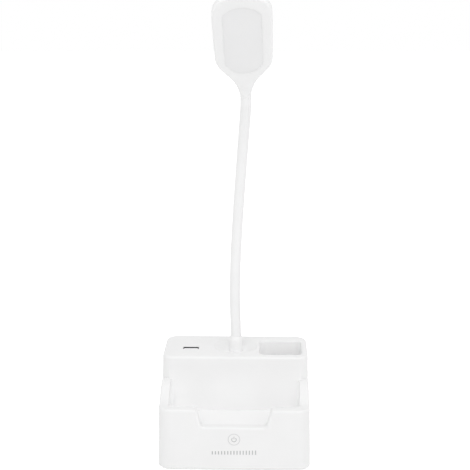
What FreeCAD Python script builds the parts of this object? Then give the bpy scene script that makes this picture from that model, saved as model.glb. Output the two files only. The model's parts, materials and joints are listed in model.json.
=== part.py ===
"""Gooseneck LED desk lamp on an organiser base: a phone tray in front, a taller block behind it
with a pen well and a USB outlet, and a panel head on a flexible arm.

Millimetres. +Z is up, +X is to the right seen from the front, and -Y is the front.
The origin is on the desk, under the middle of the base.
"""

import FreeCAD, Part
import math
import os

V = FreeCAD.Vector
X_AXIS, Y_AXIS, Z_AXIS = V(1, 0, 0), V(0, 1, 0), V(0, 0, 1)

# ---- base: overall form ----
base_width = 120.0  # at the bottom, side to side
base_depth = 94.7  # at the bottom, front to back
base_height = 80.4  # top of the rear block, above the desk
base_corner = 11.2  # plan corner radius at the bottom
draft = 0.02  # how far each side leans in, per millimetre of height
wall = 2.2  # moulded wall
foot_gap = 1.0  # the housing's lower edge above the desk
block_depth = 57.4  # the rear block, back to front
block_corner = 8.4  # front vertical corners of the rear block
top_round = 2.0  # edge round of the rear block's top
wall_round = 1.8  # edge round of the tray walls
bottom_round = 0.8  # edge round of the housing's lower edge

# ---- base: phone tray in front of the rear block ----
tray_floor = 35.4  # floor height above the desk
tray_side = 7.7  # side wall of the tray, at the floor
tray_front = 8.0  # front wall of the tray, at the floor
tray_corner = 3.0
front_wall_height = 49.4
shoulder_height = 61.5  # top of the side walls where they meet the rear block
sweep_back = 5.4  # from the rear block's face to where the side walls start down
sweep_front = 14.4  # from where the side walls stop falling to the base's front
sweep_round = 16.0  # radius of both bends of the sweep
notch_top = 58.0  # width of the notch in the front wall, at its top
notch_bottom = 51.0
notch_top_round = 2.5
notch_bottom_round = 3.0

# ---- base: pen well, outlet and arm seat in the rear block ----
well_corner = 5.5
well_side_gap, well_dish_gap = 4.7, 1.4  # from the well to the block's side, and to the dish
well_back_gap, well_front_gap = 12.8, 7.0  # from the well to the block's back and front
well_under_gap = 0.9  # from the ballast and the main board's screws up to the well's underside
well_wall = 1.8
rim_round = 1.0  # edge round of the well and the dish
dish_diameter, dish_drop = 36.0, 4.5
arm_back = 27.0  # from the arm's axis to the block's back, at the top
outlet_side, outlet_back = 21.9, 33.7  # from the outlet's middle to the block's side and back

# ---- fasteners and fits ----
part_gap = 0.2  # between pieces that sit loosely in one another
screw_fit = 0.05  # around a screw, a pin or a fitted piece in its hole
screw_radius, screw_head_radius, screw_head = 1.25, 2.5, 1.4
screw_length = 9.0  # depth of a screw's hole above the base plate
screw_end_gap = 0.5  # from a screw's end to the end of its hole
board_screw_radius, board_screw_head_radius, board_screw_head = 0.9, 1.7, 0.9
board_screw_length = 5.0
boss_radius = 3.2
boss_side, boss_end = 11.5, 7.8  # from a boss's axis to the base's side, and to its front or back

# ---- base plate and what stands on it ----
plate_thickness = 3.0
foot_radius, foot_sink = 4.4, 0.6
foot_round = 0.4
cell_radius, cell_length = 9.2, 65.0  # a round lithium cell
cell_gap = 1.0  # between the cell's cradle and what lies behind it
cell_lift = 1.5
cell_end_round = 0.8
cradle_thickness, cradle_shares = 3.0, (0.18, 0.82)  # the ribs, as shares of the cell's length
tab_thickness, tab_size = 0.3, 9.0
board_thickness = 1.6
board_round = 1.5  # corner round of the boards
board_width, board_depth = 64.0, 24.0
board_lift = 4.8
board_gap = 1.3  # from the main board to the boss beside it and to the ballast in front of it
board_post_radius, board_post_inset = 2.4, 3.2
choke_size, choke_height, choke_along = 8.0, 4.5, 42.0  # along: from the board's left end
capacitor_radius, capacitor_height, capacitor_round, capacitor_along = 4.0, 9.0, 0.7, 11.5
chip_side, chip_thickness, controller_along = 6.0, 1.6, 23.0
port_along = 28.0  # the charging port's middle, from the board's left end
port_width, port_height, port_length, port_corner = 8.9, 3.2, 7.3, 1.2
port_skin, port_tongue, port_tongue_width = 0.3, 0.7, 6.6
port_recess = 0.3  # from the housing's rear face in to the port's mouth
port_tongue_sink = 0.8  # from the port's mouth in to its tongue
ballast_side = 18.0  # from the ballast to the base's side
ballast_depth, ballast_height, ballast_corner = 22.0, 7.0, 3.0
ballast_screw_inset = 5.0
touch_drop = 10.2  # from the tray's floor down to the middle of the touch key
touch_radius, touch_foil = 6.0, 0.2
touch_board_width, touch_board_height, touch_board_thickness = 30.0, 14.0, 1.2
touch_post = 3.6

# ---- outlet in the top face ----
outlet_width, outlet_depth, outlet_length = 13.1, 5.7, 14.0
outlet_skin, outlet_corner = 0.3, 0.6
outlet_tongue_width, outlet_tongue_depth, outlet_tongue_length = 11.1, 1.84, 8.8
outlet_tongue_front = 0.66  # from the shell's front inside face to the tongue
outlet_sink = 0.1  # from the top face down to the outlet's mouth
outlet_tongue_sink = 0.15  # from the mouth down to the tongue
outlet_board_width, outlet_board_depth = 30.0, 12.0
outlet_post_radius, outlet_post_reach = 2.4, 11.4

# ---- flexible arm ----
arm_radius = 4.3
links = 10  # rigid steps between the base and the head, the head's own neck included
pitch = 21.0  # from one bend centre to the next
first_bend = 94.0  # height of the lowest bend centre
ball_gap = 0.1  # around a ball in its cup
cup_rim = 1.2  # from a bend centre up to the rim of the cup above it
ball_neck = 1.3  # from a bend centre down to the tube below it
head_lean = 25.0  # degrees that the head leans forward at rest
lean_growth = 2.8  # how late along the arm its forward lean builds up
sway_top, sway_root, sway_fade = 4.3, 9.7, 3.7  # degrees of sideways lean, and how soon it fades
head_roll = -2.0  # degrees of the head's own sideways lean
collar_radius, collar_top_radius, collar_height, collar_taper = 5.4, 4.8, 13.3, 3.0
hose_radius = 3.2  # the bare steel hose, where it enters the base
bushing_wall, bushing_length = 1.0, 9.5
nut_across, nut_thickness = 13.0, 3.6
washer_radius, washer_thickness = 8.0, 0.8

# ---- head ----
neck_gap = 7.5  # from the last bend centre to the end of the head's neck
neck_radius = 4.5
head_length, head_width = 83.6, 44.8
head_shoulder = 28.7  # where the flanks reach full width, measured from the neck's end
head_waist = 10.6  # where the flanks start
neck_round, shoulder_round, tip_round, tip_arch_round = 24.0, 17.0, 14.7, 60.0
side_taper = 0.8  # the sides are this much closer together at the shoulder than at the tip
tip_arch = 1.5
head_front, head_rear = 4.7, 6.6  # depth in front of the neck's axis and behind it
head_wall = 1.8
front_round, rear_round = 1.6, 4.2
neck_flare_start, neck_flare_length, neck_flare, neck_flare_round = 3.0, 13.0, 9.0, 8.0
spigot_radius, spigot_length = 2.6, 8.0  # the hose's end, inside the head's neck
barrel_radius, barrel_length = 3.4, 6.0  # the crimped barrel on it, which the shells hold
hollow_start = 15.5  # where the hollow begins, above the neck's end

# ---- light panel in the head ----
lens_width, lens_low = 28.9, 21.6
lens_low_arch, lens_high_arch = 8.6, 5.9  # how far the ends bulge
lens_tip_gap = 8.4  # from the diffuser to the head's tip
lens_corner = 3.0
lens_sink, lens_lip, lens_flange = 0.1, 1.3, 1.0
lens_round = 0.3  # edge round of the diffuser's face
guide_thickness = 1.5  # clear plate behind the diffuser
led_board_width, led_board_rise, led_board_drop = 33.0, 8.8, 1.7  # rise and drop: from the lens's ends
led_board_thickness, led_board_corner, led_post_length = 1.0, 2.0, 2.0
led_width, led_length, led_height = 2.8, 3.5, 0.8
led_rows, led_column_step, led_end_gap = 8, 12.0, 4.0
led_post_radius, led_post_inset = 2.4, 3.0
led_screw_length = 3.0

near = 0.01  # how close counts as touching

plate_top = foot_gap + plate_thickness
boss_screw_low = foot_gap + foot_sink
board_screws_top = board_lift + board_thickness + board_screw_head
well_floor = plate_top + max(ballast_height, board_screws_top) + well_under_gap + well_wall
block_front = base_depth / 2 - block_depth
top_back = base_depth / 2 - draft * base_height
top_side = base_width / 2 - draft * base_height
arm_y = top_back - arm_back
outlet_x = outlet_side - top_side
touch_height = tray_floor - touch_drop
lens_high = head_length - lens_tip_gap
led_board_low, led_board_high = lens_low + led_board_rise, lens_high - led_board_drop


def rounded_path(points, radii):
    """A closed wire through points, each corner rounded by an arc of its own radius.

    Where two arcs leave no room for each other on the side between them, both are smaller.
    """
    count = len(points)
    backs = [(points[i - 1] - points[i]).normalize() for i in range(count)]
    ons = [(points[(i + 1) % count] - points[i]).normalize() for i in range(count)]
    halves = [back.getAngle(on) / 2 for back, on in zip(backs, ons)]
    reaches = [radius / math.tan(half) for radius, half in zip(radii, halves)]
    rooms = []
    for i in range(count):
        wanted = reaches[i] + reaches[(i + 1) % count]
        length = points[i].distanceToPoint(points[(i + 1) % count])
        rooms.append(min(1, length / wanted) if wanted else 1)
    starts, ends, arcs = [], [], []
    for i, corner in enumerate(points):
        room = min(rooms[i - 1], rooms[i])
        starts.append(corner + backs[i] * reaches[i] * room)
        ends.append(corner + ons[i] * reaches[i] * room)
        radius = radii[i] * room
        middle_way = (backs[i] + ons[i]).normalize()
        nearest = corner + middle_way * (radius / math.sin(halves[i]) - radius)
        arcs.append(Part.Arc(starts[i], nearest, ends[i]).toShape() if radius else None)
    edges = []
    for i in range(count):
        if arcs[i]:
            edges.append(arcs[i])
        if ends[i].distanceToPoint(starts[(i + 1) % count]) > 1e-6:
            edges.append(Part.makeLine(ends[i], starts[(i + 1) % count]))
    return Part.Wire(edges)


def prism(points, radii, direction):
    return Part.Face(rounded_path(points, radii)).extrude(direction)


def plan_wire(x0, x1, y0, y1, z, radius):
    corners = [V(x0, y0, z), V(x1, y0, z), V(x1, y1, z), V(x0, y1, z)]
    return rounded_path(corners, [radius] * 4)


def plan_block(x0, x1, y0, y1, z0, z1, radius=0):
    return Part.Face(plan_wire(x0, x1, y0, y1, z0, radius)).extrude(V(0, 0, z1 - z0))


def cylinder(radius, low, high, x=0, y=0):
    return Part.makeCylinder(radius, high - low, V(x, y, low))


def tube(outer, inner, low, high, x=0, y=0):
    return cylinder(outer, low, high, x, y).cut(cylinder(inner, low, high, x, y))


def joined(solids):
    whole = solids[0]
    for solid in solids[1:]:
        whole = whole.fuse(solid)
    return whole.removeSplitter()


def without(shape, tools):
    for tool in tools:
        shape = shape.cut(tool)
    return shape


def one_solid(shape):
    """The only solid of a shape."""
    if len(shape.Solids) != 1:
        raise ValueError("expected one solid, found %d" % len(shape.Solids))
    return shape.Solids[0]


def upright(face):
    u0, u1, v0, v1 = face.ParameterRange
    return abs(face.normalAt((u0 + u1) / 2, (v0 + v1) / 2).z) < 0.15


def lies_on(edge, surface):
    """Whether both ends and the middle of an edge lie on a surface."""
    points = edge.discretize(3)
    return all(Part.Vertex(p).distToShape(surface)[0] < near for p in points)


# ---------------------------------------------------------------- base housing


def drafted_block(inset, low, high):
    """The base's full plan between two heights, each side leaning in by the draft."""
    wires = []
    for z in (low, high):
        shrink = draft * z + inset
        half_x, half_y = base_width / 2 - shrink, base_depth / 2 - shrink
        wires.append(plan_wire(-half_x, half_x, -half_y, half_y, z, base_corner - shrink))
    return Part.makeLoft(wires, True, True)


def above_tray_walls(inset, back):
    """What lies over the tray walls' swept top line, from the front of the base to back."""
    reach = base_width
    shoulder, front = shoulder_height - inset, front_wall_height - inset
    profile = [
        V(-reach, back, shoulder),
        V(-reach, block_front - sweep_back, shoulder),
        V(-reach, sweep_front - base_depth / 2, front),
        V(-reach, -base_depth, front),
        V(-reach, -base_depth, 2 * base_height),
        V(-reach, back, 2 * base_height),
    ]
    return prism(profile, [0, sweep_round, sweep_round, 0, 0, 0], V(2 * reach, 0, 0))


def notch(grow, back):
    """The open middle of the front wall, with its mouth rounded over at both top corners."""
    top, bottom = notch_top / 2 + grow, notch_bottom / 2 + grow
    reach, over = top + 4 * notch_top_round, 2 * front_wall_height
    lip = front_wall_height
    profile = [
        V(-reach, -base_depth, lip),
        V(-top, -base_depth, lip),
        V(-bottom, -base_depth, tray_floor - grow),
        V(bottom, -base_depth, tray_floor - grow),
        V(top, -base_depth, lip),
        V(reach, -base_depth, lip),
        V(reach, -base_depth, over),
        V(-reach, -base_depth, over),
    ]
    rounds = [0, notch_top_round, notch_bottom_round, notch_bottom_round, notch_top_round, 0, 0, 0]
    return prism(profile, rounds, V(0, back + base_depth, 0))


def tray_recess(grow):
    side = base_width / 2 - draft * tray_floor - tray_side + grow
    front = -base_depth / 2 + draft * tray_floor + tray_front - grow
    floor = tray_floor - grow
    top = 2 * base_height
    return plan_block(-side, side, front, block_front + grow, floor, top, tray_corner + grow)


def pen_well(grow):
    x0, x1 = dish_diameter / 2 + well_dish_gap - grow, top_side - well_side_gap + grow
    y0, y1 = block_front + well_front_gap - grow, top_back - well_back_gap + grow
    return plan_block(x0, x1, y0, y1, well_floor - grow, 2 * base_height, well_corner + grow)


def dish_floor():
    return base_height - dish_drop


def ceiling():
    """The underside of the housing's wall below the dish."""
    return dish_floor() - wall


def dish_ball(grow):
    """The ball whose cap is the shallow dish around the arm."""
    radius = ((dish_diameter / 2) ** 2 + dish_drop**2) / (2 * dish_drop)
    return Part.makeSphere(radius + grow, V(0, arm_y, base_height - dish_drop + radius))


def boss_places():
    x = base_width / 2 - boss_side
    y = base_depth / 2 - boss_end
    return [(-x, -y), (x, -y), (-x, y), (x, y)]


def rear_block(inset):
    """The block behind the tray, above the side walls, its two upright front corners rounded."""
    full = drafted_block(inset, shoulder_height - 2 * wall_round, base_height - inset)
    reach, front = base_width, block_front + inset
    block = full.common(Part.makeBox(2 * reach, reach, reach, V(-reach, front, 0)))
    corners = [
        e for e in block.Edges if e.BoundBox.YMax < front + near and e.BoundBox.ZLength > wall_round
    ]
    return block.makeFillet(block_corner - inset, corners)


def outer_form():
    """The housing's outside, its upper edges rounded: swept tray walls in front of a block."""
    full = drafted_block(0, foot_gap, base_height)
    lower = full.cut(above_tray_walls(0, base_depth))
    lower = lower.cut(notch(0, block_front - sweep_back))
    outside = Part.Compound([f for f in full.Faces if upright(f)])
    rim = [
        e
        for e in lower.Edges
        if e.BoundBox.ZMin > tray_floor - near
        and len([f for f in lower.ancestorsOfType(e, Part.Face) if upright(f)]) == 1
        and lies_on(e, outside)
    ]
    lower = lower.makeFillet(wall_round, rim)
    block = rear_block(0)
    top_edges = [e for e in block.Edges if e.BoundBox.ZMin > base_height - near]
    block = block.makeFillet(top_round, top_edges)
    whole = joined([lower, block])
    low_edges = [e for e in whole.Edges if e.BoundBox.ZMax < foot_gap + near]
    return whole.makeFillet(bottom_round, low_edges)


def cavity():
    """The hollow under the housing, a wall in from the outside and from every recess."""
    lower = drafted_block(wall, foot_gap - 1, base_height - wall)
    inside = joined([lower.cut(above_tray_walls(wall, base_depth)), rear_block(wall)])
    sockets = [notch(wall, 0), tray_recess(wall), pen_well(well_wall), dish_ball(wall)]
    return without(inside, sockets)


def outlet_shell_box(grow, low, high):
    y = top_back - outlet_back
    half_x, half_y = outlet_width / 2 + grow, outlet_depth / 2 + grow
    return plan_block(
        outlet_x - half_x, outlet_x + half_x, y - half_y, y + half_y, low, high, outlet_corner + grow
    )


def port_box(grow, front, back):
    """The charging port's outline, run from front to back."""
    low = plate_top + board_lift + board_thickness - grow
    x0, x1 = port_x() - port_width / 2 - grow, port_x() + port_width / 2 + grow
    high = low + port_height + 2 * grow
    corners = [V(x0, front, low), V(x1, front, low), V(x1, front, high), V(x0, front, high)]
    return prism(corners, [port_corner + grow] * 4, V(0, back - front, 0))


def outlet_post_places():
    y = top_back - outlet_back
    return [(outlet_x - outlet_post_reach, y), (outlet_x + outlet_post_reach, y)]


def base_housing():
    shell = outer_form().cut(notch(0, block_front - sweep_back))
    shell = shell.cut(tray_recess(0))
    mouths = [pen_well(0), dish_ball(0)]
    shell = without(shell, mouths)
    walls = Part.Compound([f for mouth in mouths for f in mouth.Faces])
    rims = [e for e in shell.Edges if e.BoundBox.ZMin > base_height - near and lies_on(e, walls)]
    shell = shell.makeFillet(rim_round, rims)
    shell = shell.cut(cavity())
    for x, y in boss_places():
        top = base_height - wall / 2 if y > 0 else tray_floor - wall / 2
        shell = shell.fuse(cylinder(boss_radius, plate_top, top, x, y))
    pad = cylinder(washer_radius + 1, ceiling(), dish_floor(), 0, arm_y)
    shell = shell.fuse(pad).cut(cylinder(collar_radius + screw_fit, dish_floor(), base_height, 0, arm_y))
    outlet_low = base_height - outlet_sink - outlet_length
    for x, y in outlet_post_places():
        post = cylinder(outlet_post_radius, outlet_low, base_height - wall / 2, x, y)
        shell = shell.fuse(post)
    for x, y in boss_places():
        shell = shell.cut(cylinder(screw_radius + screw_fit, 0, plate_top + screw_length, x, y))
    for x, y in outlet_post_places():
        depth = board_screw_length
        hole = cylinder(board_screw_radius + screw_fit, outlet_low - 1, outlet_low + depth, x, y)
        shell = shell.cut(hole)
    shell = shell.cut(outlet_shell_box(screw_fit, base_height - 2 * wall, base_height + 1))
    back = base_depth / 2
    shell = shell.cut(port_box(part_gap, back - 2 * wall, back + 1))
    shell = shell.cut(cylinder(bushing_radius() + part_gap, ceiling() - 1, base_height, 0, arm_y))
    return one_solid(shell.removeSplitter())


# ------------------------------------------------- base plate and what it carries


def plate_half():
    shrink = wall + part_gap + draft * plate_top
    return base_width / 2 - shrink, base_depth / 2 - shrink


def board_corner():
    """The main board's rear left corner, at its underside."""
    left = boss_places()[0][0] + boss_radius + board_gap
    back = plate_half()[1] - 2 * part_gap
    return V(left, back, plate_top + board_lift)


def port_x():
    return board_corner().x + port_along


def ballast_back():
    return board_corner().y - board_depth - board_gap


def ballast_half_width():
    return base_width / 2 - ballast_side


def ballast_screw_places():
    y = ballast_back() - ballast_depth / 2
    x = ballast_half_width() - ballast_screw_inset
    return [(-x, y), (x, y)]


def cell_start():
    """The middle of the cell's left end, ahead of both the ballast and the pen well."""
    well_front = block_front + well_front_gap - well_wall
    behind = min(ballast_back() - ballast_depth, well_front)
    y = behind - cell_gap - cradle_thickness - cell_radius
    return V(-cell_length / 2, y, plate_top + cell_lift + cell_radius)


def board_post_places():
    corner = board_corner()
    xs = (corner.x + board_post_inset, corner.x + board_width - board_post_inset)
    ys = (corner.y - board_post_inset, corner.y - board_depth + board_post_inset)
    return [(x, y) for x in xs for y in ys]


def touch_plane(z):
    """The inside of the front wall at a height."""
    return -base_depth / 2 + draft * z + wall


def touch_block(grow):
    """The touch board's block, grown all round, leaning back with the front wall."""
    high = touch_board_height + 2 * grow
    low = touch_height - high / 2
    start = touch_plane(touch_height) + touch_foil - grow
    half = touch_board_width / 2 + grow
    corner = V(-half, start, low)
    return touch_lean(Part.makeBox(2 * half, touch_board_thickness + 2 * grow, high, corner))


def touch_lean(shape):
    """Leans a piece that stands against the front wall back by the wall's own draft."""
    foot = V(0, touch_plane(touch_height), touch_height)
    shape.rotate(foot, X_AXIS, -math.degrees(math.atan(draft)))
    return shape


def touch_board():
    return touch_block(0)


def touch_electrode():
    start = V(0, touch_plane(touch_height), touch_height)
    return touch_lean(Part.makeCylinder(touch_radius, touch_foil, start, Y_AXIS))


def base_plate():
    half_x, half_y = plate_half()
    corner = base_corner - wall - part_gap
    plate = plan_block(-half_x, half_x, -half_y, half_y, foot_gap, plate_top, corner)
    start = cell_start()
    reach = cell_radius + cradle_thickness
    for share in cradle_shares:
        x = start.x + share * cell_length - cradle_thickness / 2
        low = V(x, start.y - reach, plate_top)
        plate = plate.fuse(Part.makeBox(cradle_thickness, 2 * reach, cell_lift + cell_radius, low))
    plate = plate.cut(Part.makeCylinder(cell_radius + screw_fit, cell_length, start, X_AXIS))
    for x, y in board_post_places():
        plate = plate.fuse(cylinder(board_post_radius, foot_gap + 1, plate_top + board_lift, x, y))
    for side in (-1, 1):
        x = side * touch_board_width / 2 - touch_post / 2
        y = touch_plane(touch_height) + touch_foil + part_gap
        low = V(x, y, plate_top)
        plate = plate.fuse(Part.makeBox(touch_post, touch_post, touch_height - plate_top, low))
    plate = plate.cut(touch_block(part_gap))
    for x, y in board_post_places():
        low = plate_top + board_lift + board_thickness - board_screw_length
        plate = plate.cut(cylinder(board_screw_radius + screw_fit, low, base_height, x, y))
    for x, y in boss_places():
        plate = plate.cut(cylinder(foot_radius + screw_fit, 0, foot_gap + foot_sink, x, y))
        plate = plate.cut(cylinder(screw_head_radius + screw_fit, 0, boss_screw_low + screw_head, x, y))
        plate = plate.cut(cylinder(screw_radius + screw_fit, 0, base_height, x, y))
    for x, y in ballast_screw_places():
        plate = plate.cut(cylinder(screw_head_radius + screw_fit, 0, foot_gap + screw_head, x, y))
        plate = plate.cut(cylinder(screw_radius + screw_fit, 0, base_height, x, y))
    return one_solid(plate.removeSplitter())


def base_screw(length, x, y, low):
    """A screw driven up from below: its head starts at low."""
    head = cylinder(screw_head_radius, low, low + screw_head, x, y)
    return one_solid(joined([head, cylinder(screw_radius, low, low + length, x, y)]))


def small_screw(x, y, seat, length, up):
    """A board screw whose head lies on the seat, above it or, driven up, below it."""
    head = V(x, y, seat)
    top = Part.makeCylinder(board_screw_head_radius, board_screw_head, head, V(0, 0, -up))
    return one_solid(joined([top, Part.makeCylinder(board_screw_radius, length, head, V(0, 0, up))]))


def rubber_feet():
    feet = []
    for x, y in boss_places():
        foot = cylinder(foot_radius, 0, foot_gap + foot_sink, x, y)
        low = [e for e in foot.Edges if e.BoundBox.ZMax < near]
        feet.append(foot.makeFillet(foot_round, low))
    return feet


def base_screws():
    length = plate_top + screw_length - boss_screw_low - screw_end_gap
    return [base_screw(length, x, y, boss_screw_low) for x, y in boss_places()]


def ballast_plate():
    x, y = ballast_half_width(), ballast_back()
    top = plate_top + ballast_height
    plate = plan_block(-x, x, y - ballast_depth, y, plate_top, top, ballast_corner)
    for x, y in ballast_screw_places():
        plate = plate.cut(cylinder(screw_radius + screw_fit, 0, base_height, x, y))
    return one_solid(plate)


def ballast_screws():
    length = plate_thickness + ballast_height - screw_end_gap
    return [base_screw(length, x, y, foot_gap) for x, y in ballast_screw_places()]


def battery_cell():
    start = cell_start()
    cell = Part.makeCylinder(cell_radius, cell_length, start, X_AXIS)
    ends = [e for e in cell.Edges if e.BoundBox.XLength < near]
    return one_solid(cell.makeFillet(cell_end_round, ends))


def battery_tabs():
    start = cell_start()
    tabs = []
    for x in (start.x - tab_thickness, start.x + cell_length):
        corner = V(x, start.y - tab_size / 2, start.z - tab_size / 2)
        tabs.append(Part.makeBox(tab_thickness, tab_size, tab_size, corner))
    return tabs


def main_circuit_board():
    corner = board_corner()
    board = plan_block(
        corner.x,
        corner.x + board_width,
        corner.y - board_depth,
        corner.y,
        corner.z,
        corner.z + board_thickness,
        board_round,
    )
    for x, y in board_post_places():
        board = board.cut(cylinder(board_screw_radius + screw_fit, 0, base_height, x, y))
    return one_solid(board)


def board_parts():
    """A choke, a capacitor and a controller chip, standing on the main board."""
    left = board_corner() + V(0, -board_depth / 2, board_thickness)
    side = choke_size / 2
    x, y, z = left + V(choke_along, 0, 0)
    choke = plan_block(x - side, x + side, y - side, y + side, z, z + choke_height, board_round)
    x, y, z = left + V(capacitor_along, 0, 0)
    capacitor = cylinder(capacitor_radius, z, z + capacitor_height, x, y)
    top = [e for e in capacitor.Edges if e.BoundBox.ZMin > z + capacitor_height - near]
    capacitor = capacitor.makeFillet(capacitor_round, top)
    side = chip_side / 2
    x, y, z = left + V(controller_along, 0, 0)
    controller = plan_block(x - side, x + side, y - side, y + side, z, z + chip_thickness)
    return [choke, capacitor, controller]


def board_screws():
    seat = board_corner().z + board_thickness
    length = board_screw_length - screw_end_gap
    return [small_screw(x, y, seat, length, -1) for x, y in board_post_places()]


def port_mouth():
    """How far back the charging port's mouth reaches: just under the housing's rear face."""
    top = plate_top + board_lift + board_thickness + port_height
    return base_depth / 2 - draft * top - port_recess


def charging_port_shell():
    back = port_mouth()
    shell = port_box(0, back - port_length, back)
    return one_solid(shell.cut(port_box(-port_skin, back - port_length + port_skin, back + 1)))


def charging_port_tongue():
    back = port_mouth()
    front = back - port_length + port_skin
    low = plate_top + board_lift + board_thickness + (port_height - port_tongue) / 2
    length = port_length - port_skin - port_tongue_sink
    corner = V(port_x() - port_tongue_width / 2, front, low)
    return Part.makeBox(port_tongue_width, length, port_tongue, corner)


# ------------------------------------------------------------- outlet in the top


def outlet_low():
    return base_height - outlet_sink - outlet_length


def usb_output_shell():
    low, high = outlet_low(), outlet_low() + outlet_length
    shell = outlet_shell_box(0, low, high)
    return one_solid(shell.cut(outlet_shell_box(-outlet_skin, low + outlet_skin, high + 1)))


def usb_output_tongue():
    y = top_back - outlet_back - outlet_depth / 2 + outlet_skin + outlet_tongue_front
    low = outlet_low() + outlet_skin
    corner = V(outlet_x - outlet_tongue_width / 2, y, low)
    length = outlet_length - outlet_skin - outlet_tongue_sink
    tongue = Part.makeBox(outlet_tongue_width, outlet_tongue_depth, length, corner)
    root_width = outlet_width - 2 * outlet_skin - 2 * part_gap
    root_depth = outlet_depth - 2 * outlet_skin - 2 * part_gap
    root_corner = V(outlet_x - root_width / 2, y - outlet_tongue_front + part_gap, low)
    root = Part.makeBox(root_width, root_depth, length - outlet_tongue_length, root_corner)
    return one_solid(joined([tongue, root]))


def usb_output_board():
    y = top_back - outlet_back
    half_x, half_y = outlet_board_width / 2, outlet_board_depth / 2
    low = outlet_low() - board_thickness
    board = plan_block(
        outlet_x - half_x, outlet_x + half_x, y - half_y, y + half_y, low, outlet_low(), board_round
    )
    for x, y in outlet_post_places():
        board = board.cut(cylinder(board_screw_radius + screw_fit, 0, base_height, x, y))
    return one_solid(board)


def usb_board_screws():
    seat = outlet_low() - board_thickness
    length = board_thickness + board_screw_length - screw_end_gap
    return [small_screw(x, y, seat, length, 1) for x, y in outlet_post_places()]


# ------------------------------------------------------------------ flexible arm


def step_turn(step):
    """How the arm is turned at one step, from 0 at its root to links at the head."""
    along = step / links
    lean = head_lean * along**lean_growth
    sway = sway_top - sway_root * (1 - along) ** sway_fade
    if step == 0:
        lean, sway = 0, 0
    if step == links:
        sway = head_roll
    return FreeCAD.Rotation(X_AXIS, lean) * FreeCAD.Rotation(Y_AXIS, sway)


def bend_centres():
    centres = [V(0, arm_y, first_bend)]
    for step in range(1, links):
        centres.append(centres[-1] + step_turn(step).multVec(V(0, 0, pitch)))
    return centres


def ball_end(centre_height):
    """The ball that ends a length of arm, with the tube's own radius."""
    return Part.makeSphere(arm_radius, V(0, 0, centre_height))


def cup():
    return Part.makeSphere(arm_radius + ball_gap, V(0, 0, 0))


def gooseneck_link():
    """One length of the arm: a cup over the ball below it, a tube, and its own ball on top."""
    tube_part = cylinder(arm_radius, cup_rim, pitch - ball_neck)
    return one_solid(joined([tube_part, ball_end(pitch)]).cut(cup()))


def bushing_radius():
    return hose_radius + screw_fit + bushing_wall


def gooseneck_root():
    """The hose's fixed lower end: the bare hose in the base, then the sleeved arm and a ball."""
    low = dish_floor() - bushing_length
    sleeve_low = dish_floor() + part_gap
    hose = cylinder(hose_radius, low, first_bend)
    sleeve = cylinder(arm_radius, sleeve_low, first_bend - ball_neck)
    whole = joined([hose, sleeve, ball_end(first_bend)])
    whole.translate(V(0, arm_y, 0))
    return one_solid(whole)


def arm_collar():
    """The moulded collar around the arm's root: a straight sleeve with a tapered top."""
    low, high = dish_floor(), dish_floor() + collar_height
    bore = arm_radius + screw_fit
    profile = [
        V(bore, 0, low),
        V(collar_radius, 0, low),
        V(collar_radius, 0, high - collar_taper),
        V(collar_top_radius, 0, high),
        V(bore, 0, high),
    ]
    face = Part.Face(rounded_path(profile, [0, 0, collar_taper / 2, 0, 0]))
    sleeve = face.revolve(V(0, 0, 0), Z_AXIS, 360)
    sleeve.translate(V(0, arm_y, 0))
    return one_solid(sleeve)


def root_bushing():
    low, high = dish_floor() - bushing_length, dish_floor()
    return one_solid(tube(bushing_radius(), hose_radius + screw_fit, low, high, 0, arm_y))


def root_washer():
    high = ceiling()
    bore = bushing_radius() + screw_fit
    return one_solid(tube(washer_radius, bore, high - washer_thickness, high, 0, arm_y))


def root_nut():
    low = ceiling() - washer_thickness - nut_thickness
    radius = nut_across / math.sqrt(3)
    corners = []
    for side in range(6):
        angle = math.radians(60 * side)
        corners.append(V(radius * math.cos(angle), arm_y + radius * math.sin(angle), low))
    hexagon = prism(corners, [0] * 6, V(0, 0, nut_thickness))
    return one_solid(hexagon.cut(cylinder(bushing_radius() + screw_fit, 0, base_height, 0, arm_y)))


# -------------------------------------------------------------------------- head


def head_outline(inset):
    """The panel's outline in the head's own frame: a narrow neck that flares into the panel."""
    neck = neck_radius - inset
    shoulder = head_width / 2 - side_taper - inset
    tip = head_width / 2 - inset
    top = head_length - inset
    flank = math.atan2(shoulder - neck, head_shoulder - head_waist)
    slope = inset * math.tan(flank / 2)
    half = [
        (neck, 0, 0),
        (neck, head_waist + slope, neck_round + inset),
        (shoulder, head_shoulder + slope, shoulder_round - inset),
        (tip, top - tip_arch, tip_round - inset),
    ]
    right = [(V(x, 0, z), r) for x, z, r in half]
    left = [(V(-x, 0, z), r) for x, z, r in reversed(half)]
    corners = right + [(V(0, 0, top), tip_arch_round)] + left
    return [c for c, r in corners], [r for c, r in corners]


def slab(outline, front, rear):
    points, radii = outline
    shifted = [p + V(0, front, 0) for p in points]
    return prism(shifted, radii, V(0, rear - front, 0))


def neck_turning():
    """A turned form that keeps the neck round and flares clear of the panel."""
    start, length = neck_flare_start, neck_flare_length
    wide = 2 * head_width
    profile = [
        V(0, 0, 0),
        V(neck_radius, 0, 0),
        V(neck_radius, 0, start),
        V(neck_radius + neck_flare, 0, start + length),
        V(wide, 0, start + length),
        V(wide, 0, 2 * head_length),
        V(0, 0, 2 * head_length),
    ]
    turning = Part.Face(rounded_path(profile, [0, 0, neck_flare_round, 0, 0, 0, 0]))
    return turning.revolve(V(0, 0, 0), Z_AXIS, 360)


def head_form():
    """The closed head: flat in front, its rear edge rounded wide, and its neck turned round."""
    form = slab(head_outline(0), -head_front, head_rear)
    rear = [e for e in form.Edges if e.BoundBox.YMin > head_rear - near and e.BoundBox.ZMax > near]
    form = form.makeFillet(rear_round, rear)
    front = [e for e in form.Edges if e.BoundBox.YMax < near - head_front and e.BoundBox.ZMax > near]
    form = form.makeFillet(front_round, front)
    return form.common(neck_turning())


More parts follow.
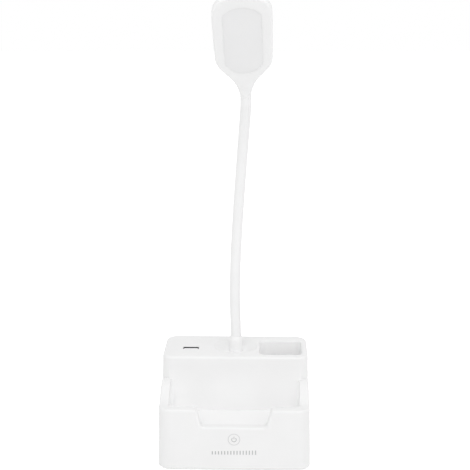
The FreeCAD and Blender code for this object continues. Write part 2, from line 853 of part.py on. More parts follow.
def head_hollow():
    """What the two shells leave empty: the panel's room and the seat of the arm's end."""
    room = slab(head_outline(head_wall), head_wall - head_front, head_rear - head_wall)
    far = 2 * head_width
    room = room.cut(Part.makeBox(far, far, far, V(-far / 2, -far / 2, hollow_start - far)))
    bore = cylinder(spigot_radius + screw_fit, -1, spigot_length + 1)
    pocket = cylinder(barrel_radius + screw_fit, spigot_length, spigot_length + barrel_length + part_gap)
    return [room, bore, pocket]


def lens_outline(grow):
    """The diffuser's outline: straight sides and arched ends."""
    half = lens_width / 2 + grow
    low, high = lens_low - grow, lens_high + grow
    left_low, right_low = V(-half, 0, low + lens_low_arch), V(half, 0, low + lens_low_arch)
    left_high, right_high = V(-half, 0, high - lens_high_arch), V(half, 0, high - lens_high_arch)
    edges = [
        Part.Arc(left_low, V(0, 0, low), right_low).toShape(),
        Part.makeLine(right_low, right_high),
        Part.Arc(right_high, V(0, 0, high), left_high).toShape(),
        Part.makeLine(left_high, left_low),
    ]
    return Part.Wire(edges)


def lens_block(grow, front, rear):
    wire = lens_outline(grow)
    wire.translate(V(0, front, 0))
    block = Part.Face(wire).extrude(V(0, rear - front, 0))
    corners = [e for e in block.Edges if e.BoundBox.YLength > (rear - front) / 2]
    corners = [e for e in corners if e.BoundBox.XLength < near and e.BoundBox.ZLength < near]
    return block.makeFillet(lens_corner + grow, corners)


def led_board_front():
    """How far behind the neck's axis the LED board's front lies."""
    return head_rear - head_wall - led_post_length - led_board_thickness


def led_post_places():
    x = led_board_width / 2 - led_post_inset
    low, high = led_board_low + led_post_inset, led_board_high - led_post_inset
    return [(side * x, z) for side in (-1, 1) for z in (low, high)]


def along_y(radius, x, z, front, rear):
    return Part.makeCylinder(radius, rear - front, V(x, front, z), Y_AXIS)


def on_head(shape):
    """Puts a piece from the head's own frame onto the arm's end."""
    turn = step_turn(links)
    place = bend_centres()[-1] + turn.multVec(V(0, 0, neck_gap))
    shape.Placement = FreeCAD.Placement(place, turn)
    return shape


def half_space(front):
    """Everything ahead of the line where the two shells meet, or everything behind it."""
    far = 3 * head_length
    return Part.makeBox(far, far, far, V(-far / 2, -far if front else 0, -far / 2))


def head_front_shell():
    shell = without(head_form().common(half_space(True)), head_hollow())
    return one_solid(shell.cut(lens_block(screw_fit, -2 * head_front, 0)))


def head_rear_shell():
    shell = without(head_form().common(half_space(False)), head_hollow())
    inner = head_rear - head_wall
    for x, z in led_post_places():
        post = along_y(led_post_radius, x, z, inner - led_post_length, inner + head_wall / 2)
        shell = shell.fuse(post)
    front = led_board_front()
    for x, z in led_post_places():
        radius, depth = board_screw_radius + screw_fit, led_screw_length + part_gap
        shell = shell.cut(along_y(radius, x, z, front, front + depth))
    return one_solid(shell.removeSplitter())


def diffuser():
    """The milky panel: it fills the front shell's window and a flange behind holds it in."""
    face, inner = lens_sink - head_front, head_wall - head_front
    panel = lens_block(0, face, inner)
    panel = panel.makeFillet(lens_round, [e for e in panel.Edges if e.BoundBox.YMax < face + near])
    flange = lens_block(lens_lip, inner, inner + lens_flange)
    return one_solid(joined([panel, flange]))


def light_guide():
    front = head_wall - head_front + lens_flange
    return one_solid(lens_block(lens_lip / 2, front, front + guide_thickness))


def led_board():
    front = led_board_front()
    half = led_board_width / 2
    points = [V(-half, front, led_board_low), V(half, front, led_board_low)]
    points += [V(half, front, led_board_high), V(-half, front, led_board_high)]
    board = prism(points, [led_board_corner] * 4, V(0, led_board_thickness, 0))
    for x, z in led_post_places():
        hole = along_y(board_screw_radius + screw_fit, x, z, front, front + led_board_thickness)
        board = board.cut(hole)
    return one_solid(board)


def led_chips():
    """Two columns of surface-mounted LEDs on the board's front."""
    front = led_board_front()
    first = led_board_low + led_end_gap
    row_step = (led_board_high - led_end_gap - first) / (led_rows - 1)
    chips = []
    for column in (-0.5, 0.5):
        for row in range(led_rows):
            x = column * led_column_step
            z = first + row * row_step
            corner = V(x - led_width / 2, front - led_height, z - led_length / 2)
            chips.append(Part.makeBox(led_width, led_height, led_length, corner))
    return chips


def led_board_screws():
    front = led_board_front()
    screws = []
    for x, z in led_post_places():
        start = front - board_screw_head
        head = along_y(board_screw_head_radius, x, z, start, front)
        shank = along_y(board_screw_radius, x, z, start, front + led_screw_length)
        screws.append(one_solid(joined([head, shank])))
    return screws


def gooseneck_tip():
    """The arm's upper end: a cup, the sleeved tube up to the head, and the crimped barrel."""
    sleeve = cylinder(arm_radius, cup_rim, neck_gap)
    spigot = cylinder(spigot_radius, cup_rim, neck_gap + spigot_length + barrel_length)
    barrel = cylinder(
        barrel_radius,
        neck_gap + spigot_length + part_gap / 2,
        neck_gap + spigot_length + barrel_length,
    )
    whole = one_solid(joined([sleeve, spigot, barrel]).cut(cup()))
    whole.translate(V(0, 0, -neck_gap))
    return whole


# ------------------------------------------------------------------------ output

ON_BASE = [
    base_housing,
    base_plate,
    rubber_feet,
    base_screws,
    ballast_plate,
    ballast_screws,
    battery_cell,
    battery_tabs,
    main_circuit_board,
    board_parts,
    board_screws,
    charging_port_shell,
    charging_port_tongue,
    usb_output_shell,
    usb_output_tongue,
    usb_output_board,
    usb_board_screws,
    touch_board,
    touch_electrode,
    root_bushing,
    root_washer,
    root_nut,
    arm_collar,
    gooseneck_root,
]
ON_HEAD = [
    gooseneck_tip,
    head_front_shell,
    head_rear_shell,
    diffuser,
    light_guide,
    led_board,
    led_chips,
    led_board_screws,
]


def arm_links():
    centres = bend_centres()
    placed = {}
    for step in range(1, links):
        link = gooseneck_link()
        link.Placement = FreeCAD.Placement(centres[step - 1], step_turn(step))
        placed["gooseneck_link_%d" % step] = link
    return placed


def all_pieces():
    pieces = {}
    for make in ON_BASE:
        pieces[make.__name__] = make()
    pieces.update(arm_links())
    for make in ON_HEAD:
        made = make()
        group = made if isinstance(made, list) else [made]
        pieces[make.__name__] = on_head(Part.makeCompound(group))
    return pieces


def main():
    os.makedirs("parts", exist_ok=True)
    for name, made in all_pieces().items():
        shape = Part.makeCompound(made) if isinstance(made, list) else made
        shape.exportStep("parts/%s.step" % name)


if __name__ == "__main__":
    main()
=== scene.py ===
"""Looks for the gooseneck desk lamp on its organiser base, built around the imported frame.

The materials come first, then the pieces that the frame lacks, and then the floor, the light and
the camera. Lengths are in metres, apart from the sizes of the hollows, which are in millimetres.
"""

import json
import math

import bpy
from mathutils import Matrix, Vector


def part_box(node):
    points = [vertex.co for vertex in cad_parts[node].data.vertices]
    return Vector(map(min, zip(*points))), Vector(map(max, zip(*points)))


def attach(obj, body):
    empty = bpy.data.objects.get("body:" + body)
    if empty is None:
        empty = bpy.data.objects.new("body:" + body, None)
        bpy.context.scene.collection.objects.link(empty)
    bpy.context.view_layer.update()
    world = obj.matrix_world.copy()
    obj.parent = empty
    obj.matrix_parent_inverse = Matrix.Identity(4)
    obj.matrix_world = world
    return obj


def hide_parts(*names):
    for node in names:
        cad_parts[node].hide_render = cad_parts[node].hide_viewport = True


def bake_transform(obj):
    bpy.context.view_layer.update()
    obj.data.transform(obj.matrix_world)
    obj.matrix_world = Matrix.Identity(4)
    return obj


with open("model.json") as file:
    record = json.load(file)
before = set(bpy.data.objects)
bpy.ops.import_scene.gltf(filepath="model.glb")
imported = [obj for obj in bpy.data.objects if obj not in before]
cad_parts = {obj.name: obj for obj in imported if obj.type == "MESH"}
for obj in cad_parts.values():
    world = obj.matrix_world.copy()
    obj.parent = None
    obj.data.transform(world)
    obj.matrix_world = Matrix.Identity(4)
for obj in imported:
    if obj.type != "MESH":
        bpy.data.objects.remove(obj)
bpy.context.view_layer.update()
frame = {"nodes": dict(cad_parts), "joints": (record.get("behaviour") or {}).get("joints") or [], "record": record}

MM = 0.001

# Sizes that the pieces below share with the solids.
ARM_RADIUS = 4.3 * MM
BASE_DEPTH = 94.7 * MM
DRAFT = 0.02  # how far the front wall leans back for each unit of height
NECK_GAP = 7.5 * MM  # from the last hinge to the sleeve's upper end
LINKS = 10  # lengths of the arm, each with one hinge


# --------------------------------------------------------------- shader nodes

NOISE_RANGE = (0.3, 0.7)  # where most of a noise texture's values lie
TONE_RANGE = (0.35, 0.65)  # where a surface turns from its darker tone to its lighter one


def feed(node, inputs):
    """Gives each input, by its name or number, a value of its own or a link from a socket."""
    for name, value in inputs.items():
        if isinstance(value, bpy.types.NodeSocket):
            node.id_data.links.new(value, node.inputs[name])
        else:
            node.inputs[name].default_value = value


def add_node(tree, kind, inputs=None, **settings):
    node = tree.nodes.new(kind)
    for name, value in settings.items():
        setattr(node, name, value)
    feed(node, inputs or {})
    return node


def calculate(tree, operation, first, second):
    inputs = {0: first, 1: second}
    return add_node(tree, "ShaderNodeMath", inputs, operation=operation).outputs["Value"]


def calculate_vector(tree, operation, *values):
    inputs = dict(enumerate(values))
    return add_node(tree, "ShaderNodeVectorMath", inputs, operation=operation).outputs["Vector"]


def along_axes(tree, vector):
    """The three parts of a vector."""
    node = add_node(tree, "ShaderNodeSeparateXYZ", {"Vector": vector})
    return [node.outputs[axis] for axis in "XYZ"]


def remap(tree, value, from_low, from_high, to_low, to_high, interpolation="LINEAR"):
    """Maps one range onto another, and what lies beyond it onto the range's ends."""
    inputs = {
        "Value": value,
        "From Min": from_low,
        "From Max": from_high,
        "To Min": to_low,
        "To Max": to_high,
    }
    node = add_node(tree, "ShaderNodeMapRange", inputs, interpolation_type=interpolation)
    return node.outputs["Result"]


def noise(tree, scale, detail, roughness=0.5, finer=(1, 1, 1)):
    """A noise texture in the object's own coordinates, with scale features per metre.

    finer multiplies that number along each axis.
    """
    place = add_node(tree, "ShaderNodeTexCoord").outputs["Object"]
    mapping = add_node(tree, "ShaderNodeMapping", {"Vector": place, "Scale": finer})
    inputs = {
        "Vector": mapping.outputs["Vector"],
        "Scale": scale,
        "Detail": detail,
        "Roughness": roughness,
    }
    return add_node(tree, "ShaderNodeTexNoise", inputs).outputs["Fac"]


def vary(tree, texture, middle, swing):
    """A value that a texture moves up and down from its middle."""
    return remap(tree, texture, *NOISE_RANGE, middle - swing, middle + swing)


def two_tone(tree, texture, dark, light):
    """A colour that a texture moves between two."""
    node = add_node(tree, "ShaderNodeValToRGB", {"Fac": texture})
    for element, position, colour in zip(node.color_ramp.elements, TONE_RANGE, (dark, light)):
        element.position = position
        element.color = (*colour, 1)
    return node.outputs["Color"]


def relief(tree, texture, depth):
    inputs = {"Height": texture, "Distance": depth, "Strength": 1.0}
    return add_node(tree, "ShaderNodeBump", inputs).outputs["Normal"]


# ----------------------------------------------------------- kinds of surface

PLASTIC_TONE, PLASTIC_GLOSS = 38, 210  # features per metre
PLASTIC_SWING = 0.05  # in roughness
METAL_TONE, METAL_MARKS = 300, 900  # features per metre
METAL_SWING = 0.08  # in roughness
METAL_DEPTH = 0.004 * MM


def new_material(name):
    """A material with a shader, to which nothing is fed yet."""
    material = bpy.data.materials.new(name)
    material.use_nodes = True
    tree = material.node_tree
    tree.nodes.clear()
    shader = add_node(tree, "ShaderNodeBsdfPrincipled")
    add_node(tree, "ShaderNodeOutputMaterial", {"Surface": shader.outputs["BSDF"]})
    return material


def only_node(material, kind):
    """The one node of its kind that the material has."""
    return next(node for node in material.node_tree.nodes if node.type == kind)


def shader_of(material):
    return only_node(material, "BSDF_PRINCIPLED")


def moulded(name, dark, light, roughness, grain=0.006 * MM, grain_scale=2600, specular=0.5):
    """Moulded plastic: a faint drift of tone, uneven gloss and a fine spark-eroded grain."""
    material = new_material(name)
    tree = material.node_tree
    gloss = noise(tree, PLASTIC_GLOSS, detail=4, roughness=0.6)
    inputs = {
        "Base Color": two_tone(tree, noise(tree, PLASTIC_TONE, detail=3), dark, light),
        "Roughness": vary(tree, gloss, roughness, PLASTIC_SWING),
        "Normal": relief(tree, noise(tree, grain_scale, detail=3, roughness=0.6), grain),
        "Specular IOR Level": specular,
    }
    feed(shader_of(material), inputs)
    return material


def metal(name, dark, light, roughness, finer):
    """Metal with a drift of tone, and marks that are finer along one axis than along the others."""
    material = new_material(name)
    tree = material.node_tree
    marks = noise(tree, METAL_MARKS, detail=4, roughness=0.6, finer=finer)
    inputs = {
        "Base Color": two_tone(tree, noise(tree, METAL_TONE, detail=3), dark, light),
        "Roughness": vary(tree, marks, roughness, METAL_SWING),
        "Normal": relief(tree, marks, METAL_DEPTH),
        "Metallic": 1.0,
    }
    feed(shader_of(material), inputs)
    return material


def soften(material, weight, depth):
    """Lets light travel a little way through the plastic, as white mouldings do."""
    inputs = {
        "Subsurface Weight": weight,
        "Subsurface Radius": (1.0, 1.0, 1.0),
        "Subsurface Scale": depth,
    }
    feed(shader_of(material), inputs)


# -------------------------------------------------------------------- hollows, with painted light and shade

LOOKS_UP = 0.45  # the least upward part of a normal on a face that looks up
STEADY_SHARE = 0.4  # of a hollow's half width, from its middle out, where its strength is level


def hollow(box, low_grow, high_grow, fade, middle, side, brim=None):
    """A box grown out to the faces around it, and how far it fades beyond them, in millimetres.

    Its strength rises from the middle of its width to its sides. A face that looks up and lies
    higher than the brim above the box's floor is the top of a wall around it, and so outside it.
    """
    low, high = Vector(box[0]), Vector(box[1])
    return {
        "low": low - Vector(low_grow) * MM,
        "high": high + Vector(high_grow) * MM,
        "fade": Vector(fade) * MM,
        "middle": middle,
        "side": side,
        "brim": low.z + brim * MM if brim else None,
    }


openings = {row["name"]: row["box_m"] for row in frame["record"]["physics"]["openings"]}
TRAY_HEIGHT = (openings["phone_tray"][1][2] - openings["phone_tray"][0][2]) / MM
TRAY_FULL = 13  # the height above the opening's floor up to which the tray is at full strength

# Where light is painted into the base's white, to lift the shade in the pen well, the phone tray, the front notch
# and the dish round the arm.
PEN_WELL = hollow(
    openings["pen_well"],
    low_grow=(1.85, 1.85, 1),
    high_grow=(1.85, 1.85, -4),
    fade=(0.3, 0.3, 1),
    middle=1.0,
    side=1.0,
)
PHONE_TRAY = hollow(
    openings["phone_tray"],
    low_grow=(1.05, 1.05, 1),
    high_grow=(1.05, 1.05, TRAY_FULL - TRAY_HEIGHT),
    fade=(1.5, 1.5, 26),
    middle=0.28,
    side=0.7,
    brim=2,
)
FRONT_NOTCH = hollow(
    openings["front_notch"],
    low_grow=(5, -5, -2),
    high_grow=(5, 0, 0),
    fade=(0.3, 0.3, 1),
    middle=0.0,
    side=0.25,
)
ARM_DISH = hollow(
    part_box("arm_collar"),
    low_grow=(1, 1, 1),
    high_grow=(1, 1, 0),
    fade=(5, 5, 6),
    middle=0.32,
    side=0.32,
)
# Where light is painted on the head's neck and the sleeve's top, to lift the shade under the head.
HEAD_NECK = hollow(
    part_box("gooseneck_tip"),
    low_grow=(5, 5, -2),
    high_grow=(5, 5, -16),
    fade=(3, 3, 4),
    middle=0.22,
    side=0.22,
)
# Where shade is painted on the socket's steel, below its rim.
SOCKET = hollow(
    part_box("usb_output_shell"),
    low_grow=(0, 0, 0),
    high_grow=(0, 0, -0.35),
    fade=(0.1, 0.1, 0.35),
    middle=1.0,
    side=1.0,
)


def below_brim(tree, place, facing, brim):
    """0 on faces that look up above the brim, and 1 elsewhere."""
    above = calculate(tree, "GREATER_THAN", along_axes(tree, place)[2], brim)
    upward = calculate(tree, "GREATER_THAN", along_axes(tree, facing)[2], LOOKS_UP)
    return calculate(tree, "LESS_THAN", calculate(tree, "MULTIPLY", above, upward), 0.5)


def share_inside(tree, space):
    """How far a point lies inside a hollow: 0 outside it, and the hollow's strength within."""
    coordinates = add_node(tree, "ShaderNodeTexCoord")
    place, facing = coordinates.outputs["Object"], coordinates.outputs["Normal"]
    centre, half = (space["low"] + space["high"]) / 2, (space["high"] - space["low"]) / 2
    off_centre = calculate_vector(tree, "ABSOLUTE", calculate_vector(tree, "SUBTRACT", place, centre))
    sideways = along_axes(tree, off_centre)[0]
    level = (half.x * STEADY_SHARE, half.x, space["middle"], space["side"])
    strength = remap(tree, sideways, *level, "SMOOTHSTEP")
    beyond = calculate_vector(tree, "SUBTRACT", off_centre, half)
    x, y, z = along_axes(tree, calculate_vector(tree, "DIVIDE", beyond, space["fade"]))
    farthest = calculate(tree, "MAXIMUM", calculate(tree, "MAXIMUM", x, y), z)
    inside = remap(tree, farthest, 1.0, 0.0, 0.0, strength, "SMOOTHSTEP")
    if space["brim"] is not None:
        inside = calculate(tree, "MULTIPLY", inside, below_brim(tree, place, facing, space["brim"]))
    return inside


def paint_light_and_shade(material, colour, *spaces):
    """Paints light and shade: mixes another colour in where a point lies inside any of the hollows."""
    tree, shader = material.node_tree, shader_of(material)
    total = share_inside(tree, spaces[0])
    for space in spaces[1:]:
        total = calculate(tree, "MAXIMUM", total, share_inside(tree, space))
    mix = add_node(tree, "ShaderNodeMix", {"Factor": total}, data_type="RGBA")
    plain, other = [socket for socket in mix.inputs if socket.type == "RGBA"]
    other.default_value = (*colour, 1)
    tree.links.new(shader.inputs["Base Color"].links[0].from_socket, plain)
    feed(shader, {"Base Color": next(socket for socket in mix.outputs if socket.type == "RGBA")})


# ------------------------------------------------------------------ materials

# The colour of the painted light that lifts the shade in the hollows and at the neck.
PAINTED_LIGHT_WHITE = (0.99, 0.99, 0.99)
# The colour of the shade painted down inside the socket.
PAINTED_SOCKET_SHADE = (0.06, 0.06, 0.06)


def housing_white():
    """White moulding, with light painted inside its hollows to lift the shade that falls there."""
    material = moulded("housing_plastic", (0.810, 0.810, 0.810), (0.824, 0.824, 0.824), 0.48)
    paint_light_and_shade(material, PAINTED_LIGHT_WHITE, PEN_WELL, PHONE_TRAY, FRONT_NOTCH, ARM_DISH)
    return material


def shell_white():
    """The head's white moulding, which lets some light through, with light painted at the neck to lift the shade
    under the head.
    """
    material = moulded("head_plastic", (0.845, 0.845, 0.846), (0.859, 0.859, 0.860), 0.46)
    paint_light_and_shade(material, PAINTED_LIGHT_WHITE, HEAD_NECK)
    soften(material, 0.2, 2 * MM)
    return material


def sleeve_white():
    """The arm's silicone: duller than the shells, with a shallower grain, a faint sheen, and light painted at the
    neck to lift the shade under the head.
    """
    dark, light = (0.839, 0.839, 0.840), (0.853, 0.853, 0.854)
    material = moulded("arm_silicone", dark, light, 0.55, 0.004 * MM, 1900, specular=0.4)
    paint_light_and_shade(material, PAINTED_LIGHT_WHITE, HEAD_NECK)
    feed(shader_of(material), {"Sheen Weight": 0.06, "Sheen Roughness": 0.5})
    return material


def milky():
    """The panel in front of the light: smoother than the shells, and lets more light through."""
    dark, light = (0.794, 0.794, 0.797), (0.808, 0.808, 0.811)
    material = moulded("milky_panel", dark, light, 0.36, 0.003 * MM, 3800)
    soften(material, 0.3, 2 * MM)
    return material


def port_steel():
    """Plated steel, with shade painted down inside the socket, darker there than on its rim."""
    material = metal("port_steel", (0.70, 0.70, 0.71), (0.78, 0.78, 0.79), 0.34, (6, 1, 1))
    paint_light_and_shade(material, PAINTED_SOCKET_SHADE, SOCKET)
    return material


MATERIALS = {
    "housing": housing_white(),
    "head_shell": shell_white(),
    "arm_sleeve": sleeve_white(),
    "diffuser": milky(),
    "plate": moulded("plate_plastic", (0.80, 0.80, 0.80), (0.83, 0.83, 0.83), 0.55),
    "foot_rubber": moulded("foot_rubber", (0.50, 0.50, 0.49), (0.56, 0.56, 0.55), 0.8),
    "port_plastic": moulded("port_plastic", (0.84, 0.84, 0.84), (0.88, 0.88, 0.88), 0.4),
    "steel": metal("zinc_steel", (0.55, 0.55, 0.56), (0.66, 0.66, 0.67), 0.35, (1, 1, 8)),
    "brass": metal("turned_brass", (0.62, 0.47, 0.22), (0.74, 0.58, 0.30), 0.3, (1, 1, 9)),
    "port_metal": port_steel(),
    "nickel": metal("nickel_strip", (0.62, 0.61, 0.58), (0.72, 0.71, 0.68), 0.3, (1, 7, 1)),
    "copper": metal("copper_foil", (0.66, 0.34, 0.20), (0.78, 0.44, 0.28), 0.32, (1, 5, 1)),
    "cell_wrap": moulded("cell_wrap", (0.05, 0.12, 0.26), (0.07, 0.15, 0.31), 0.3),
    "circuit_board": moulded("board_mask", (0.02, 0.12, 0.05), (0.04, 0.17, 0.07), 0.35),
    "dark_parts": moulded("dark_parts", (0.015, 0.015, 0.017), (0.03, 0.03, 0.032), 0.45),
    "light_guide": moulded("clear_guide", (0.82, 0.84, 0.85), (0.88, 0.90, 0.91), 0.15),
    "led_board": moulded("led_board_mask", (0.74, 0.74, 0.74), (0.80, 0.80, 0.80), 0.4),
    "led_chip": moulded("led_phosphor", (0.78, 0.62, 0.22), (0.86, 0.70, 0.30), 0.3),
}
CLEAR_SEAL = moulded("clear_seal", (0.83, 0.83, 0.83), (0.85, 0.85, 0.85), 0.4)
INK = moulded("printed_ink", (0.45, 0.45, 0.455), (0.49, 0.49, 0.495), 0.5, 0.001 * MM)
PALE_INK = moulded("pale_ink", (0.61, 0.61, 0.615), (0.65, 0.65, 0.655), 0.5, 0.001 * MM)

slots = {row["node"]: row["material_slot"] for row in frame["record"]["subparts"]}
for node, obj in frame["nodes"].items():
    obj.data.materials.clear()
    obj.data.materials.append(MATERIALS[slots[node]])


# ----------------------------------------------------------------- new pieces


def mesh_object(name, points, faces, material, smooth=True):
    mesh = bpy.data.meshes.new(name)
    mesh.from_pydata([tuple(p) for p in points], [], faces)
    mesh.materials.append(material)
    for face in mesh.polygons:
        face.use_smooth = smooth
    mesh.update()
    obj = bpy.data.objects.new(name, mesh)
    bpy.context.scene.collection.objects.link(obj)
    return obj


# ------------------------------------------------------------------ gooseneck

SLEEVE_FOOT = 0.4 * MM  # the sleeve's lower end, above the collar's underside
STEPS = 14  # along each length of the sleeve
SIDES = 48  # around it


def bend(start, corner, end, t):
    """A point and a direction on the parabola from start to end whose tangents meet at corner."""
    point = start * (1 - t) ** 2 + corner * (2 * t * (1 - t)) + end * t**2
    return point, (corner - start) * (1 - t) + (end - corner) * t


def sleeve(name, path, seam):
    """A smooth round tube along (point, direction) stations, open at both ends.

    Its first corner lies on the side that seam points to. What seam has become at the far end,
    square to the path there, comes back with it for the next length.
    """
    points, faces = [], []
    for point, direction in path:
        along = direction.normalized()
        seam = (seam - along * seam.dot(along)).normalized()
        across = along.cross(seam)
        for i in range(SIDES):
            angle = 2 * math.pi * i / SIDES
            points.append(point + (seam * math.cos(angle) + across * math.sin(angle)) * ARM_RADIUS)
    for ring in range(len(path) - 1):
        for i in range(SIDES):
            a, b = ring * SIDES + i, ring * SIDES + (i + 1) % SIDES
            faces.append((a, b, b + SIDES, a + SIDES))
    return mesh_object(name, points, faces, MATERIALS["arm_sleeve"]), seam


joints = {j["child"]: j for j in frame["joints"]}
bodies = ["base"] + [f"link_{k}" for k in range(1, LINKS)] + ["head"]
centres = [Vector(joints[body]["pos_m"]) for body in bodies[1:]]
collar_low, collar_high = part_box("arm_collar")
root = Vector((centres[0].x, centres[0].y, collar_low.z + SLEEVE_FOOT))
tip = frame["nodes"]["gooseneck_tip"].data.vertices
tip_middle = sum((v.co for v in tip), Vector()) / len(tip)
neck_end = centres[-1] + (tip_middle - centres[-1]).normalized() * NECK_GAP

# Each hinge has its own length of the sleeve, from halfway to the hinge before it, or from the
# root, to halfway to the hinge after it, or to the neck.
middles = [(a + b) / 2 for a, b in zip(centres, centres[1:])]
starts = [root] + middles
ends = middles + [neck_end]
seam = Vector((1, 0, 0))
for k in range(LINKS):
    start, corner, end = starts[k], centres[k], ends[k]
    stations = [bend(start, corner, end, i / STEPS) for i in range(STEPS + 1)]
    piece, seam = sleeve(f"arm_sleeve_{k + 1}", stations, seam)
    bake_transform(piece)
    covered = f"gooseneck_link_{k + 1}" if k + 1 < LINKS else "gooseneck_tip"
    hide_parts(covered)
    if k == 0:
        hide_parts("gooseneck_root")


# ----------------------------------------------------------------- panel seal

PANEL_ROUND = 0.3 * MM  # the rounded edge of the panel, from its face to its straight side
SAME_LEVEL = 0.02 * MM
SEAL_INWARD, SEAL_OUTWARD = 0.32 * MM, 0.04 * MM  # from the panel's outline
SEAL_SUNK, SEAL_THICK = 0.02 * MM, 0.25 * MM  # below the panel's face


def panel_outline():
    """The corners of the panel's outline in order, level with its face, and their middle.

    They are found where the panel's straight side begins. The way that its face looks comes too.
    """
    panel = frame["nodes"]["diffuser"].data
    face = max((f for f in panel.polygons if f.normal.y < 0), key=lambda f: f.area)
    facing = face.normal.copy()
    level = max(v.co.dot(facing) for v in panel.vertices)
    across = facing.cross(Vector((0, 0, 1))).normalized()
    upward = across.cross(facing)
    rim = {}
    for vertex in panel.vertices:
        depth = level - vertex.co.dot(facing)
        if abs(depth - PANEL_ROUND) < SAME_LEVEL:
            # To the nearest micrometre, so that corners in the same place count once.
            spot = (round(vertex.co.dot(across), 6), round(vertex.co.dot(upward), 6))
            rim[spot] = vertex.co + facing * depth
    middle = sum(rim.values(), Vector()) / len(rim)

    def bearing(point):
        return math.atan2((point - middle).dot(upward), (point - middle).dot(across))

    return sorted(rim.values(), key=bearing), middle, facing


def panel_seal():
    """The clear seal that fills the rounded edge between the milky panel and its window."""
    outline, middle, facing = panel_outline()
    top, bottom = facing * -SEAL_SUNK, facing * -(SEAL_SUNK + SEAL_THICK)
    points, faces = [], []
    count = len(outline)
    for i, spot in enumerate(outline):
        outward = (outline[(i + 1) % count] - outline[i - 1]).cross(facing).normalized()
        if outward.dot(spot - middle) < 0:
            outward = -outward
        inner, outer = spot - outward * SEAL_INWARD, spot + outward * SEAL_OUTWARD
        points += [inner + top, outer + top, outer + bottom, inner + bottom]
    for i in range(count):
        a, b = 4 * i, 4 * ((i + 1) % count)
        for j in range(4):
            k = (j + 1) % 4
            faces.append((a + j, b + j, b + k, a + k))
    seal = mesh_object("panel_seal", points, faces, CLEAR_SEAL, smooth=False)
    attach(seal, "head")


panel_seal()


# -------------------------------------------------------------- printed marks

PRINT_DEPTH = 0.03 * MM
MARK_X, MARK_Z = 0.2 * MM, 25.8 * MM  # the ring's middle on the front wall, as in the photograph
LINE = 0.6 * MM
RING_RADIUS = 4.5 * MM
SYMBOL_RADIUS = 1.75 * MM
SYMBOL_DROP = 0.1 * MM  # its arc's middle, below the ring's
SYMBOL_GAP = 40  # degrees, to each side of straight up
STEM_LOW, STEM_HIGH = 0.2 * MM, 2.4 * MM  # above the ring's middle
TICKS, TICK_STEP, TICK_WIDTH = 15, 2.4 * MM, 0.88 * MM
TICK_LOW, TICK_HIGH = 13.4 * MM, 16.0 * MM
TICK_GROWTH = 0.07 * MM  # from each tick to the next


def on_front(x, z):
    """A point on the base's front wall."""
    return Vector((x, -BASE_DEPTH / 2 + DRAFT * z, z))


def printed(name, shapes, material):
    """Thin flat shapes printed on the front wall, each a list of corners in x and z."""
    points, faces = [], []
    out = Vector((0, -1, -DRAFT)).normalized() * PRINT_DEPTH
    for shape in shapes:
        front = [on_front(x, z) + out for x, z in shape]
        back = [on_front(x, z) for x, z in shape]
        first, count = len(points), len(shape)
        points += front + back
        faces.append(tuple(range(first, first + count)))
        for i in range(count):
            j = (i + 1) % count
            faces.append((first + j, first + i, first + count + i, first + count + j))
    obj = mesh_object(name, points, faces, material, smooth=False)
    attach(obj, "base")


def arc(middle_z, radius, start, end, steps):
    """Quads along an arc of the line's width, in degrees clockwise from straight up."""
    quads = []
    inner, outer = radius - LINE / 2, radius + LINE / 2
    for i in range(steps):
        a = math.radians(start + (end - start) * i / steps)
        b = math.radians(start + (end - start) * (i + 1) / steps)
        corners = ((inner, a), (outer, a), (outer, b), (inner, b))
        quads.append([(MARK_X + r * math.sin(turn), middle_z + r * math.cos(turn)) for r, turn in corners])
    return quads


def bar(x, low, high, width):
    half = width / 2
    return [(x - half, low), (x + half, low), (x + half, high), (x - half, high)]


ring = arc(MARK_Z, RING_RADIUS, 0, 360, steps=96)
symbol = arc(MARK_Z - SYMBOL_DROP, SYMBOL_RADIUS, SYMBOL_GAP, 360 - SYMBOL_GAP, steps=48)
symbol.append(bar(MARK_X, MARK_Z + STEM_LOW, MARK_Z + STEM_HIGH, LINE))
ticks = []
for i in range(TICKS):
    tick_x = MARK_X + (i - TICKS // 2) * TICK_STEP
    ticks.append(bar(tick_x, TICK_LOW, TICK_HIGH + TICK_GROWTH * i, TICK_WIDTH))
printed("touch_ring", ring, PALE_INK)
printed("power_symbol", symbol, INK)
printed("level_ticks", ticks, INK)


# ------------------------------------------------------------ stage and light

FLOOR_REACH = 6  # from its middle to each side
FLOOR_TONE = 2  # features per metre
FLOOR_GLOW = 0.6  # what a seen floor shows beyond the light that falls on it
WORLD_LIGHT = 0.80  # on the object
WORLD_SEEN = 1.0  # around it, in the picture
LIT_POINT = (0, 0, 0.1)


def seen_ray(tree):
    """1 for the rays that show the surroundings to the camera, straight or by gloss or glass, else 0."""
    path = add_node(tree, "ShaderNodeLightPath")
    seen = path.outputs["Is Camera Ray"]
    for kind in ("Is Glossy Ray", "Is Transmission Ray"):
        seen = calculate(tree, "MAXIMUM", seen, path.outputs[kind])
    return seen


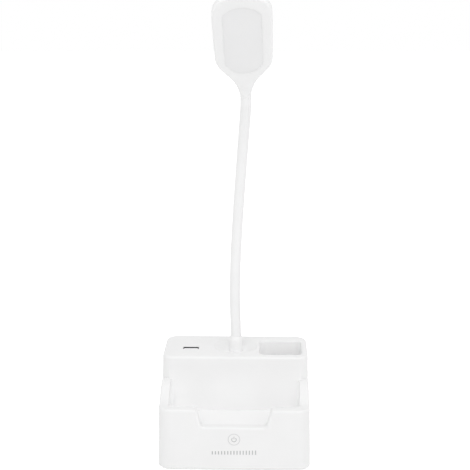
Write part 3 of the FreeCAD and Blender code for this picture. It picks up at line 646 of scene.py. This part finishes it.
def stage_material():
    """A pale floor that shows white to the camera and still takes the object's soft shadow."""
    material = new_material("studio_floor")
    tree, shader = material.node_tree, shader_of(material)
    tone = noise(tree, FLOOR_TONE, detail=2)
    inputs = {
        "Base Color": two_tone(tree, tone, (0.90, 0.90, 0.90), (0.91, 0.91, 0.91)),
        "Roughness": 0.9,
        "Specular IOR Level": 0.0,
    }
    feed(shader, inputs)
    strength = calculate(tree, "MULTIPLY", seen_ray(tree), FLOOR_GLOW)
    glow = add_node(tree, "ShaderNodeEmission", {"Strength": strength})
    both = {0: shader.outputs["BSDF"], 1: glow.outputs["Emission"]}
    total = add_node(tree, "ShaderNodeAddShader", both)
    feed(only_node(material, "OUTPUT_MATERIAL"), {"Surface": total.outputs["Shader"]})
    return material


floor_corners = [(x * FLOOR_REACH, y * FLOOR_REACH, 0) for x, y in ((-1, -1), (1, -1), (1, 1), (-1, 1))]
floor = mesh_object("studio_floor", floor_corners, [(0, 1, 2, 3)], stage_material(), smooth=False)


def area_light(name, place, size, power):
    light = bpy.data.lights.new(name, "AREA")
    light.shape = "DISK"
    light.size = size
    light.energy = power
    obj = bpy.data.objects.new(name, light)
    obj.location = place
    obj.rotation_euler = (Vector(LIT_POINT) - Vector(place)).to_track_quat("-Z", "Y").to_euler()
    bpy.context.scene.collection.objects.link(obj)


area_light("key_light", (0.0, -1.5, 2.0), size=2.6, power=20.5)
area_light("fill_light", (2.0, -0.8, 1.6), size=2.0, power=3.8)

world = bpy.data.worlds.new("studio")
world.use_nodes = True
tree = world.node_tree
strength = remap(tree, seen_ray(tree), 0.0, 1.0, WORLD_LIGHT, WORLD_SEEN)
feed(tree.nodes["Background"], {"Color": (1, 1, 1, 1), "Strength": strength})
bpy.context.scene.world = world


# --------------------------------------------------------------------- camera

IMAGE_WIDTH = 470  # pixels
FOCAL_LENGTH = 1087.14  # pixels
SENSOR_WIDTH = 36  # millimetres, like the lens
CAMERA_PLACE = (22.52 * MM, -834.56 * MM, 364.43 * MM)
LOOKS_DOWN, TURNED_LEFT = 12.595, 1.5637  # degrees

camera = bpy.data.cameras.new("camera")
camera.sensor_width = SENSOR_WIDTH
camera.lens = FOCAL_LENGTH * SENSOR_WIDTH / IMAGE_WIDTH
camera_object = bpy.data.objects.new("camera", camera)
camera_object.location = CAMERA_PLACE
camera_object.rotation_euler = (math.radians(90 - LOOKS_DOWN), 0, math.radians(TURNED_LEFT))
bpy.context.scene.collection.objects.link(camera_object)
bpy.context.scene.camera = camera_object
bpy.context.scene.view_settings.view_transform = "Standard"
